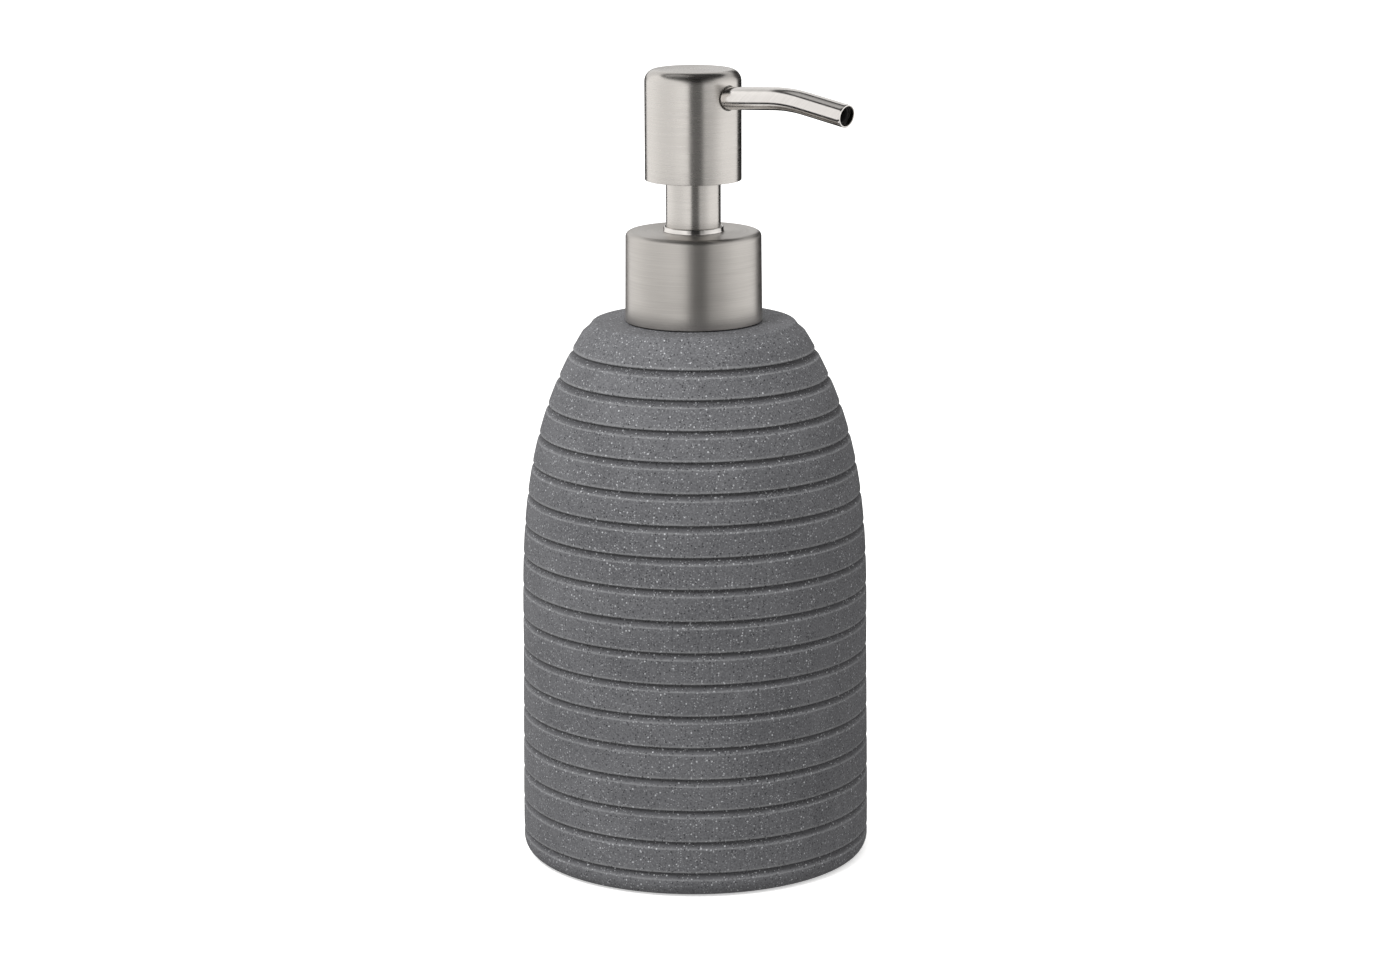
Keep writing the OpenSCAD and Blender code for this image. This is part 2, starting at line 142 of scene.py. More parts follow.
def makeBrushMarks():
    # marks that run round the pump's axis: long round it, fine across it, rings on flat tops
    tree, given, out = openTree("brushMarks", "ShaderNodeTree",
        [("Length", "Float", 9 * mm), ("Width", "Float", 0.16 * mm)],
        [("Marks", "Float"), ("Bands", "Float")])
    place = tree.nodes.new("ShaderNodeTexCoord").outputs["Object"]
    part = tree.nodes.new("ShaderNodeSeparateXYZ")
    feed(tree, part.inputs[0], place)
    radius = calc(tree, "SQRT", calc(tree, "ADD", calc(tree, "MULTIPLY", part.outputs[0], part.outputs[0]),
                                     calc(tree, "MULTIPLY", part.outputs[1], part.outputs[1])))
    across = calc(tree, "SUBTRACT", part.outputs[2], radius)
    for name, stretch, detail in (("Marks", 1.0, 4.0), ("Bands", 7.0, 1.0)):
        spot = tree.nodes.new("ShaderNodeCombineXYZ")
        for axis in (0, 1):
            feed(tree, spot.inputs[axis], calc(tree, "DIVIDE", part.outputs[axis], given["Length"]))
        width = calc(tree, "MULTIPLY", given["Width"], stretch)
        feed(tree, spot.inputs[2], calc(tree, "DIVIDE", across, width))
        noise = tree.nodes.new("ShaderNodeTexNoise")
        feed(tree, noise.inputs["Vector"], spot.outputs[0])
        feed(tree, noise.inputs["Scale"], 1.0)
        feed(tree, noise.inputs["Detail"], detail)
        feed(tree, out[name], noise.outputs[0])
    return tree


scatteredGrains = makeSpecks()
mouldGrain = makeMouldGrain()
brushMarks = makeBrushMarks()


def startFinish(name, **settings):
    material = bpy.data.materials.new(name)
    material.use_nodes = True
    tree = material.node_tree
    shader = tree.nodes["Principled BSDF"]
    for socket, value in settings.items():
        feed(tree, shader.inputs[socket.replace("_", " ")], value)
    return material, tree, shader


def addBump(tree, shader, height, distance):
    bump = tree.nodes.new("ShaderNodeBump")
    feed(tree, bump.inputs["Height"], height)
    feed(tree, bump.inputs["Distance"], distance)
    feed(tree, bump.inputs["Strength"], 1.0)
    feed(tree, shader.inputs["Normal"], bump.outputs[0])


stone = {
    "dark": (0.074, 0.075, 0.081, 1), "light": (0.168, 0.170, 0.179, 1),
    # edge is a painted highlight where the bands' rounded edges catch the light; groove is painted shade under each
    # band's lip
    "edge": (0.235, 0.238, 0.245, 1), "groove": (0.060, 0.060, 0.065, 1),
    "whiteGrain": (0.50, 0.51, 0.53, 1), "blackGrain": (0.022, 0.022, 0.025, 1),
    "roughness": (0.66, 0.82), "tooth": 0.10 * mm,
}
# grains scattered in the stone: cell size in millimetres, share of cells, radius within the cell, colour, strength
stoneGrains = [(0.44, 0.36, 0.38, "whiteGrain", 0.62), (0.80, 0.24, 0.30, "whiteGrain", 1.0),
               (0.56, 0.42, 0.42, "blackGrain", 0.85)]


def makeStone(name, look, banded):
    material, tree, shader = startFinish(name, Specular_IOR_Level=0.35)
    grain = placeGroup(tree, mouldGrain, Grain=0.42 * mm, Patch=16 * mm)
    clouds = blendValue(tree, grain["Patches"], 0.3, 0.7, 0.0, 1.0)
    salt = blendValue(tree, grain["Height"], 0.32, 0.68, 0.0, 1.0)
    mixed = calc(tree, "ADD", calc(tree, "MULTIPLY", salt, 0.72), calc(tree, "MULTIPLY", clouds, 0.28))
    color = blendColor(tree, mixed, look["dark"], look["light"])
    if banded:
        # painted highlight along the bands' edges and painted shade in the grooves, both broken up by the grain
        for attribute, tint, start, full in (("paintedEdgeHighlight", "edge", 0.0, 1.2), ("paintedGrooveShade", "groove", 0.06, 0.72)):
            mask = addNode(tree, "ShaderNodeAttribute", attribute_name=attribute)
            shown = blendValue(tree, mask.outputs["Fac"], start, full, 0.0, 0.9, smooth=True)
            broken = calc(tree, "MULTIPLY", shown, blendValue(tree, salt, 0, 1, 0.6, 1.0))
            color = blendColor(tree, broken, color, look[tint])
    height = calc(tree, "MULTIPLY", grain["Height"], 0.6)
    for cell, share, radius, tint, strength in stoneGrains:
        specks = placeGroup(tree, scatteredGrains, Cell=cell * mm, Share=share, Radius=radius)
        varied = blendValue(tree, specks["Tone"], 0, 1, 0.3 * strength, strength)
        shown = calc(tree, "MULTIPLY", specks["Mask"], varied)
        color = blendColor(tree, shown, color, look[tint])
        height = calc(tree, "SUBTRACT", height, calc(tree, "MULTIPLY", specks["Mask"], 0.35))
    feed(tree, shader.inputs["Base Color"], color)
    feed(tree, shader.inputs["Roughness"], blendValue(tree, grain["Height"], 0.3, 0.7, *look["roughness"]))
    addBump(tree, shader, height, look["tooth"])
    return material


steel = {
    "brushed": {"color": (0.625, 0.60, 0.57, 1), "mark": (0.592, 0.568, 0.540, 1),
                "roughness": (0.23, 0.29), "length": 14 * mm, "width": 0.09 * mm, "cut": 0.0015 * mm, "stretch": 0.6},
    "matt": {"color": (0.548, 0.526, 0.498, 1), "mark": (0.485, 0.464, 0.440, 1),
             "roughness": (0.34, 0.40), "length": 12 * mm, "width": 0.09 * mm, "cut": 0.0015 * mm, "stretch": 0.5},
    "bright": {"color": (0.78, 0.755, 0.73, 1), "mark": (0.72, 0.695, 0.67, 1),
               "roughness": (0.09, 0.17), "length": 20 * mm, "width": 0.3 * mm, "cut": 0.0015 * mm, "stretch": 0.2},
}


def makeSteel(name, look):
    material, tree, shader = startFinish(name, Metallic=1.0, Anisotropic=look["stretch"], Anisotropic_Rotation=0.25)
    around = addNode(tree, "ShaderNodeTangent", direction_type="RADIAL", axis="Z")
    feed(tree, shader.inputs["Tangent"], around.outputs[0])
    marks = placeGroup(tree, brushMarks, Length=look["length"], Width=look["width"])
    smudges = placeGroup(tree, mouldGrain, Grain=5 * mm, Patch=14 * mm)
    feed(tree, shader.inputs["Base Color"],
         blendColor(tree, blendValue(tree, marks["Marks"], 0.35, 0.65, 0.0, 1.0), look["color"], look["mark"]))
    rough = blendValue(tree, marks["Bands"], 0.3, 0.7, *look["roughness"])
    feed(tree, shader.inputs["Roughness"],
         calc(tree, "ADD", rough, blendValue(tree, smudges["Patches"], 0.45, 0.7, 0.0, 0.04)))
    addBump(tree, shader, marks["Marks"], look["cut"])
    return material


plastic = {
    "natural": {"color": (0.72, 0.72, 0.69, 1), "tint": (0.64, 0.64, 0.61, 1), "roughness": (0.32, 0.42),
                "grain": 0.5 * mm, "tooth": 0.01 * mm},
    "white": {"color": (0.80, 0.80, 0.78, 1), "tint": (0.75, 0.75, 0.73, 1), "roughness": (0.26, 0.36),
              "grain": 0.4 * mm, "tooth": 0.008 * mm},
    # near-black plastic for the nozzle's liner: the real liner darkened as painted shade for the inside of the bore
    "boreShade": {"color": (0.020, 0.020, 0.021, 1), "tint": (0.032, 0.032, 0.033, 1), "roughness": (0.40, 0.50),
               "grain": 0.4 * mm, "tooth": 0.008 * mm},
    "foam": {"color": (0.028, 0.028, 0.030, 1), "tint": (0.050, 0.050, 0.053, 1), "roughness": (0.80, 0.95),
             "grain": 0.3 * mm, "tooth": 0.12 * mm},
}


def makePlastic(name, look):
    material, tree, shader = startFinish(name, Specular_IOR_Level=0.4)
    grain = placeGroup(tree, mouldGrain, Grain=look["grain"], Patch=9 * mm)
    feed(tree, shader.inputs["Base Color"],
         blendColor(tree, blendValue(tree, grain["Patches"], 0.3, 0.7, 0.0, 1.0), look["color"], look["tint"]))
    feed(tree, shader.inputs["Roughness"], blendValue(tree, grain["Height"], 0.3, 0.7, *look["roughness"]))
    addBump(tree, shader, grain["Height"], look["tooth"])
    return material


stoneResin = makeStone("stoneResin", stone, banded=True)
stoneBack = makeStone("stoneBack", {**stone, "roughness": (0.75, 0.9)}, banded=False)
brushedSteel = makeSteel("brushedSteel", steel["brushed"])
mattSteel = makeSteel("mattSteel", steel["matt"])
brightSteel = makeSteel("brightSteel", steel["bright"])
naturalPlastic = makePlastic("naturalPlastic", plastic["natural"])
whitePlastic = makePlastic("whitePlastic", plastic["white"])
boreShadePlastic = makePlastic("boreShadePlastic", plastic["boreShade"])
foamRubber = makePlastic("foamRubber", plastic["foam"])
print("finishes made")


def arc(x, z, radius, start, end, steps=8):
    turns = [math.radians(start + (end - start) * i / steps) for i in range(steps + 1)]
    return [(x + radius * math.cos(t), z + radius * math.sin(t)) for t in turns]


def addObject(name, data):
    piece = bpy.data.objects.new(name, data)
    bpy.context.scene.collection.objects.link(piece)
    return piece


def faceOutwards(mesh):
    shape = bmesh.new()
    shape.from_mesh(mesh)
    bmesh.ops.recalc_face_normals(shape, faces=shape.faces)
    shape.to_mesh(mesh)
    shape.free()


def softenShading(mesh, limit=32):
    # smooth faces, with the corners above the limit kept crisp
    shape = bmesh.new()
    shape.from_mesh(mesh)
    for face in shape.faces:
        face.smooth = True
    for edge in shape.edges:
        edge.smooth = len(edge.link_faces) == 2 and edge.calc_face_angle(0) < math.radians(limit)
    shape.to_mesh(mesh)
    shape.free()


def settle(piece):
    # turns the piece with its modifiers into a plain mesh
    graph = bpy.context.evaluated_depsgraph_get()
    mesh = bpy.data.meshes.new_from_object(piece.evaluated_get(graph))
    piece.modifiers.clear()
    piece.data = mesh
    return piece


def turned(name, outline, material, sides=160):
    # a closed outline of (radius, height) in millimetres, turned round the Z axis
    turns = [2 * math.pi * i / sides for i in range(sides)]
    shape = bmesh.new()
    rings = []
    for radius, height in outline:
        spots = [(radius * math.cos(t), radius * math.sin(t)) for t in turns] if radius > 1e-6 else [(0, 0)]
        rings.append([shape.verts.new((x * mm, y * mm, height * mm)) for x, y in spots])
    for low, high in zip(rings, rings[1:] + rings[:1]):
        if len(low) == 1 and len(high) == 1:
            continue
        for i in range(sides):
            n = (i + 1) % sides
            corners = [low[i % len(low)], low[n % len(low)], high[n % len(high)], high[i % len(high)]]
            shape.faces.new(list(dict.fromkeys(corners)))
    bmesh.ops.recalc_face_normals(shape, faces=shape.faces)
    mesh = bpy.data.meshes.new(name)
    shape.to_mesh(mesh)
    shape.free()
    mesh.materials.append(material)
    softenShading(mesh)
    return addObject(name, mesh)


def runTree(piece, tree, **values):
    # adds the tree as a modifier, with its inputs set by their identifiers
    modifier = piece.modifiers.new(tree.name, "NODES")
    modifier.node_group = tree
    for item in tree.interface.items_tree:
        if item.in_out == "INPUT" and item.name in values:
            modifier[item.identifier] = values[item.name]


def placePoints(tree, geometry, position):
    moved = tree.nodes.new("GeometryNodeSetPosition")
    feed(tree, moved.inputs["Geometry"], geometry)
    feed(tree, moved.inputs["Position"], position)
    return moved.outputs[0]


def closeTree(tree, geometry, given, target):
    real = tree.nodes.new("GeometryNodeRealizeInstances")
    feed(tree, real.inputs[0], geometry)
    painted = tree.nodes.new("GeometryNodeSetMaterial")
    feed(tree, painted.inputs["Geometry"], real.outputs[0])
    feed(tree, painted.inputs["Material"], given["Material"])
    feed(tree, target, painted.outputs[0])
    return tree


def hand(piece, body, slot, *replaced):
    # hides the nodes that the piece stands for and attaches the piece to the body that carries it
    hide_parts(*replaced)
    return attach(piece, body)


bottle = {
    "Widest": 40.0, "Draft": 0.4, "Draft Start": 13.0, "Fall Start": 50.0, "Top": 124.0, "Fall": 15.85,
    "First Groove": 5.54, "Pitch": 7.255, "Crowding": 5.615, "Groove Depth": 0.75,
}
bottleRule = {"Fall Power": 3.1, "Crowding Power": 5.0, "Grooves": 17, "Sides": 176}
wallSizes = ["Widest", "Draft", "Draft Start", "Fall Start", "Top", "Fall", "Fall Power"]
shell = {"wall": 4.4, "cavityTop": 119.0, "cavitySteps": 8, "neckHole": 14.05, "padHole": 36.8, "pad": 1.0,
         "base": 0.3, "baseRound": (2.3, 3.2), "topRound": 1.0, "shoulder": (0.55, 122.6), "holeRound": 0.2,
         "padEdge": 0.15}
# one groove and the band over it: height from the groove's centre in millimetres, share of the depth (also the mask
# of the painted shade in the grooves), strength of the painted highlight on the bands' edges
grooveSection = [(-1.95, 0, 0), (-1.62, 0, 0.1), (-1.46, 0.03, 0.75), (-1.32, 0.11, 0.7), (-0.95, 0.36, 0),
                 (-0.55, 0.66, 0), (-0.2, 0.93, 0), (0.0, 1, 0), (0.16, 0.99, 0), (0.24, 0.88, 0), (0.28, 0.45, 0.1),
                 (0.32, 0.13, 0.7), (0.42, 0.03, 1), (0.62, 0, 0.85), (1.0, 0, 0.1), (2.6, 0, 0), (3.9, 0, 0)]


def wallRule():
    # radius and slope of the plain wall at a height
    tree, given, out = openTree("wallRule", "GeometryNodeTree",
        [("Height", "Float", 0.0)] + [(name, "Float", 0.0) for name in wallSizes],
        [("Radius", "Float"), ("Slope", "Float")])
    drafted = calc(tree, "DIVIDE", calc(tree, "SUBTRACT", given["Height"], given["Draft Start"]),
                   calc(tree, "SUBTRACT", given["Fall Start"], given["Draft Start"]), clamp=True)
    rise = calc(tree, "SUBTRACT", given["Top"], given["Fall Start"])
    above = calc(tree, "SUBTRACT", given["Height"], given["Fall Start"])
    share = calc(tree, "MAXIMUM", calc(tree, "DIVIDE", above, rise), 0.0)
    fallen = calc(tree, "MULTIPLY", given["Fall"], calc(tree, "POWER", share, given["Fall Power"]))
    lean = calc(tree, "MULTIPLY", given["Draft"], drafted)
    feed(tree, out["Radius"], calc(tree, "SUBTRACT", calc(tree, "SUBTRACT", given["Widest"], lean), fallen))
    steep = calc(tree, "POWER", share, calc(tree, "SUBTRACT", given["Fall Power"], 1.0))
    scale = calc(tree, "DIVIDE", calc(tree, "MULTIPLY", given["Fall"], given["Fall Power"]), rise)
    feed(tree, out["Slope"], calc(tree, "MULTIPLY", calc(tree, "MULTIPLY", steep, scale), -1.0))
    return tree


def bandTree():
    # repeats the groove section up the wall and turns it round the axis
    grooveSizes = ["First Groove", "Pitch", "Crowding", "Crowding Power", "Groove Depth"]
    tree, given, out = openTree("bandedWall", "GeometryNodeTree",
        [("Section", "Geometry", None)] + [(name, "Float", 0.0) for name in wallSizes + grooveSizes]
        + [("Grooves", "Int", 1), ("Sides", "Int", 64), ("Material", "Material", None)], [("Wall", "Geometry")])
    size = addNode(tree, "GeometryNodeAttributeDomainSize", component="MESH")
    feed(tree, size.inputs["Geometry"], given["Section"])
    count = size.outputs["Point Count"]
    rows = calc(tree, "MULTIPLY", count, given["Grooves"])
    grid = tree.nodes.new("GeometryNodeMeshGrid")
    feed(tree, grid.inputs["Vertices X"], calc(tree, "ADD", given["Sides"], 1.0))
    feed(tree, grid.inputs["Vertices Y"], rows)
    index = tree.nodes.new("GeometryNodeInputIndex").outputs[0]
    column = calc(tree, "FLOOR", calc(tree, "DIVIDE", calc(tree, "ADD", index, 0.5), rows))
    row = calc(tree, "SUBTRACT", index, calc(tree, "MULTIPLY", column, rows))
    groove = calc(tree, "FLOOR", calc(tree, "DIVIDE", calc(tree, "ADD", row, 0.5), count))
    place = calc(tree, "SUBTRACT", row, calc(tree, "MULTIPLY", groove, count))

    def sampled(kind, value):
        node = addNode(tree, "GeometryNodeSampleIndex", data_type=kind, domain="POINT", clamp=True)
        feed(tree, node.inputs["Geometry"], given["Section"])
        feed(tree, node.inputs["Value"], value)
        feed(tree, node.inputs["Index"], place)
        return node.outputs[0]

    spot = tree.nodes.new("ShaderNodeSeparateXYZ")
    feed(tree, spot.inputs[0], sampled("FLOAT_VECTOR", tree.nodes.new("GeometryNodeInputPosition").outputs[0]))
    crowded = calc(tree, "MULTIPLY", given["Crowding"],
                   calc(tree, "POWER", calc(tree, "DIVIDE", groove, given["Grooves"]), given["Crowding Power"]))
    even = calc(tree, "MULTIPLY_ADD", groove, given["Pitch"], given["First Groove"])
    centre = calc(tree, "SUBTRACT", even, crowded)
    height = calc(tree, "ADD", centre, spot.outputs["Z"])
    wall = placeGroup(tree, wallRule(), "GeometryNodeGroup", Height=height,
                      **{name: given[name] for name in wallSizes})
    long = calc(tree, "SQRT", calc(tree, "MULTIPLY_ADD", wall["Slope"], wall["Slope"], 1.0))
    deep = calc(tree, "DIVIDE", calc(tree, "MULTIPLY", spot.outputs["X"], given["Groove Depth"]), long)
    radius = calc(tree, "SUBTRACT", wall["Radius"], deep)
    angle = calc(tree, "DIVIDE", calc(tree, "MULTIPLY", column, 2 * math.pi), given["Sides"])
    point = tree.nodes.new("ShaderNodeCombineXYZ")
    feed(tree, point.inputs[0], calc(tree, "MULTIPLY", radius, calc(tree, "COSINE", angle)))
    feed(tree, point.inputs[1], calc(tree, "MULTIPLY", radius, calc(tree, "SINE", angle)))
    feed(tree, point.inputs[2], calc(tree, "MULTIPLY_ADD", deep, wall["Slope"], height))
    flow = grid.outputs["Mesh"]
    # masks for the painted shade in the grooves and the painted highlight on the bands' edges
    for name, value in (("paintedGrooveShade", spot.outputs["X"]), ("paintedEdgeHighlight", spot.outputs["Y"])):
        store = addNode(tree, "GeometryNodeStoreNamedAttribute", data_type="FLOAT", domain="POINT")
        feed(tree, store.inputs["Geometry"], flow)
        feed(tree, store.inputs["Name"], name)
        feed(tree, store.inputs["Value"], value)
        flow = store.outputs[0]
    merged = tree.nodes.new("GeometryNodeMergeByDistance")
    feed(tree, merged.inputs["Geometry"], placePoints(tree, flow, point.outputs[0]))
    feed(tree, merged.inputs["Distance"], 0.001 * mm)
    return closeTree(tree, merged.outputs[0], given, out["Wall"])


def joinRings(shape, first, second):
    for i in range(len(first)):
        shape.faces.new((first[i - 1], first[i], second[i], second[i - 1]))


def extendOutline(shape, ring, outline):
    # carries a ring of corners on through a list of (radius, height), and returns the last ring
    for radius, height in outline:
        scales = [radius * mm / math.hypot(vert.co.x, vert.co.y) for vert in ring]
        following = [shape.verts.new((vert.co.x * scale, vert.co.y * scale, height * mm))
                     for vert, scale in zip(ring, scales)]
        joinRings(shape, ring, following)
        ring = following
    return ring


def makeBottle():
    section = bpy.data.meshes.new("grooveSection")
    section.from_pydata([(depth, edge, height * mm) for height, depth, edge in grooveSection],
                        [(i, i + 1) for i in range(len(grooveSection) - 1)], [])
    piece = addObject("stoneBottle", section)
    runTree(piece, bandTree(), Material=stoneResin, **bottleRule, **{k: v * mm for k, v in bottle.items()})
    settle(piece)
    stoneSlot = piece.data.polygons[0].material_index     # where Set Material put the stone
    shape = bmesh.new()
    shape.from_mesh(piece.data)
    rims = sorted((vert for vert in shape.verts if vert.is_boundary),
                  key=lambda vert: math.atan2(vert.co.y, vert.co.x))
    middle = bottle["Top"] / 2 * mm
    low = [vert for vert in rims if vert.co.z < middle]
    high = [vert for vert in rims if vert.co.z > middle]
    across, tall = shell["baseRound"]
    outwards, shoulderZ = shell["shoulder"]
    straight = bottle["Widest"] - bottle["Draft"]
    rimR = straight - bottle["Fall"] - 0.3                # a little inside the wall's own top edge
    inner = straight - shell["wall"]
    soft, edge = shell["holeRound"], shell["padEdge"]
    over = [(rimR + outwards, shoulderZ)] + arc(rimR - shell["topRound"], bottle["Top"] - shell["topRound"],
                                                shell["topRound"], 25, 90, 6)
    over += [(20, bottle["Top"]), (17, bottle["Top"])]
    over += arc(shell["neckHole"] + soft, bottle["Top"] - soft, soft, 90, 180, 3)
    cavity = [(shell["neckHole"], shell["cavityTop"])]
    for i in range(shell["cavitySteps"] + 1):
        height = shell["cavityTop"] - i * (shell["cavityTop"] - bottle["Fall Start"]) / shell["cavitySteps"]
        share = (height - bottle["Fall Start"]) / (bottle["Top"] - bottle["Fall Start"])
        cavity.append((inner - bottle["Fall"] * share ** bottleRule["Fall Power"], height))
    under = [(inner, shell["pad"]), (shell["padHole"], shell["pad"]), (shell["padHole"], shell["base"] + edge),
             (shell["padHole"] + edge, shell["base"])]
    around = [(bottle["Widest"] + (x - 1) * across, shell["base"] + (z + 1) * tall)
              for x, z in arc(0, 0, 1, 0, -90, 10)]
    foot = extendOutline(shape, low, around)
    joinRings(shape, foot, extendOutline(shape, high, over + cavity + under))
    for face in shape.faces:
        face.material_index = stoneSlot
    bmesh.ops.recalc_face_normals(shape, faces=shape.faces)
    shape.to_mesh(piece.data)
    shape.free()
    softenShading(piece.data, 48)
    return hand(piece, "bottle", "stone_resin", "bottle_shell")


pad = {"radius": 36.6, "height": 1.0, "soft": 0.3}


def makePad():
    inset, soft = pad["radius"] - pad["soft"], pad["soft"]
    outline = [(0, 0), (pad["radius"] / 2, 0)] + arc(inset, soft, soft, -90, 0, 5)
    outline += arc(inset, pad["height"] - soft, soft, 0, 90, 5)
    outline += [(pad["radius"] / 2, pad["height"]), (0, pad["height"])]
    footPad = turned("footPad", outline, foamRubber)
    hand(footPad, "bottle", "foam_rubber", "foot_pad")


makeBottle()
makePad()
print("bottle made")


collar = {"bottom": 124.25, "top": 144.55, "lowR": 15.54, "topR": 15.36, "round": 1.2, "sheet": 0.5,
          "hole": 6.87, "holeRound": 0.08, "hem": 0.14}


def makeCollar():
    c = collar
    inset, middle = c["topR"] - c["round"], c["top"] - c["round"]
    inside, soft = c["lowR"] - c["sheet"], c["holeRound"]
    outline = arc(c["lowR"] - c["hem"], c["bottom"] + c["hem"], c["hem"], -90, 0, 4)
    outline += arc(inset, middle, c["round"], 0, 90, 12)
    outline += [(11, c["top"])] + arc(c["hole"] + soft, c["top"] - soft, soft, 90, 180, 3)
    outline += [(c["hole"], c["top"] - c["sheet"])]
    outline += arc(inset, middle, c["round"] - c["sheet"], 90, 0, 8)
    outline += [(inside, c["bottom"] + c["hem"]), (inside + 0.1, c["bottom"])]
    return hand(turned("collarCover", outline, mattSteel), "collar", "brushed_steel", "collar_shell")


ring = {"bore": 6.27, "outer": 6.85, "foot": 141.55, "lip": 145.65, "bead": 0.1, "lipRound": 0.26}


def makeRing():
    r = ring
    top = collar["top"]
    beadR = r["outer"] + r["bead"]                        # a bead that rests on the collar's top
    outline = [(r["bore"], r["foot"]), (r["outer"], r["foot"]), (r["outer"], top + 0.02)]
    outline += [(beadR, top + 0.04), (beadR, top + 0.18), (r["outer"] - 0.02, top + 0.4)]
    outline += arc(r["bore"] + 0.3, r["lip"] - r["lipRound"], r["lipRound"], 20, 180, 8)
    return hand(turned("stemRing", outline, brightSteel), "collar", "bright_steel", "stem_ring")


makeCollar()
makeRing()
print("collar made")


head = {"bottom": 156.2, "top": 181.05, "radius": 10.89, "round": 2.7, "sheet": 0.6, "hem": 0.12,
        "hole": 2.85, "nozzleZ": 174.5}
sleeve = {"outer": 6.19, "inner": 5.79, "bottom": 134.55, "top": 160.15, "hem": 0.1}
nozzle = {"Start": 3.0, "Run": 24.3, "Bend Radius": 42.0, "End": 11.9}
nozzleTurn = {"Rise": 4.0, "Bend": 12.8}                  # degrees
nozzleWall = {"tube": (2.55, 0.35), "liner": (2.18, 0.5)}    # outside radius, wall
nozzleEdge = {"inset": 1.5, "bevel": 0.07}                # how far the liner stays back, rounding of the cut ends


def alongNozzle(distance):
    # a place on the nozzle's first straight, with Z along it
    rise = math.radians(90 - nozzleTurn["Rise"])
    level = Matrix.Translation((0, 0, head["nozzleZ"] * mm))
    return level @ Matrix.Rotation(rise, 4, "Y") @ Matrix.Translation((0, 0, distance * mm))


def makeHead():
    h = head
    inset, middle = h["radius"] - h["round"], h["top"] - h["round"]
    inner, hem = h["radius"] - h["sheet"], h["hem"]
    outline = [(inner + 0.1, h["bottom"])] + arc(h["radius"] - hem, h["bottom"] + hem, hem, -90, 0, 4)
    outline += [(h["radius"], h["bottom"] + 8), (h["radius"], h["bottom"] + 16)]
    outline += arc(inset, middle, h["round"], 0, 90, 18)
    outline += [(4, h["top"]), (0, h["top"]), (0, h["top"] - h["sheet"])]
    outline += arc(inset, middle, h["round"] - h["sheet"], 90, 0, 10)
    outline += [(inner, h["bottom"] + 0.1)]
    piece = turned("headCover", outline, brushedSteel, sides=192)
    cutter = bmesh.new()
    bmesh.ops.create_cone(cutter, cap_ends=True, segments=48, radius1=h["hole"] * mm, radius2=h["hole"] * mm,
                          depth=12 * mm, matrix=alongNozzle(11))
    tool = addObject("holeTool", bpy.data.meshes.new("holeTool"))
    cutter.to_mesh(tool.data)
    cutter.free()
    cut = piece.modifiers.new("hole", "BOOLEAN")
    cut.operation, cut.object, cut.solver = "DIFFERENCE", tool, "EXACT"
    settle(piece)
    bpy.data.objects.remove(tool)
    softenShading(piece.data)
    return hand(piece, "head", "brushed_steel", "head_shell")


def makeSleeve():
    s = sleeve
    outline = [(s["inner"], s["bottom"]), (s["outer"] - s["hem"], s["bottom"]), (s["outer"], s["bottom"] + s["hem"])]
    outline += [(s["outer"], height) for height in (142, 150, s["top"])] + [(s["inner"], s["top"])]
    return hand(turned("stemSleeve", outline, brushedSteel), "head", "brushed_steel", "stem_sleeve")


def sweepTube(tree, path, given, target, closed):
    # sweeps a circle along a chain of points
    curve = tree.nodes.new("GeometryNodeMeshToCurve")
    feed(tree, curve.inputs[0], path)
    circle = tree.nodes.new("GeometryNodeCurvePrimitiveCircle")
    feed(tree, circle.inputs["Resolution"], given["Sides"])
    feed(tree, circle.inputs["Radius"], given["Tube Radius"])
    swept = tree.nodes.new("GeometryNodeCurveToMesh")
    feed(tree, swept.inputs["Curve"], curve.outputs[0])
    feed(tree, swept.inputs["Profile Curve"], circle.outputs["Curve"])
    feed(tree, swept.inputs["Fill Caps"], closed)
    return closeTree(tree, swept.outputs[0], given, target)


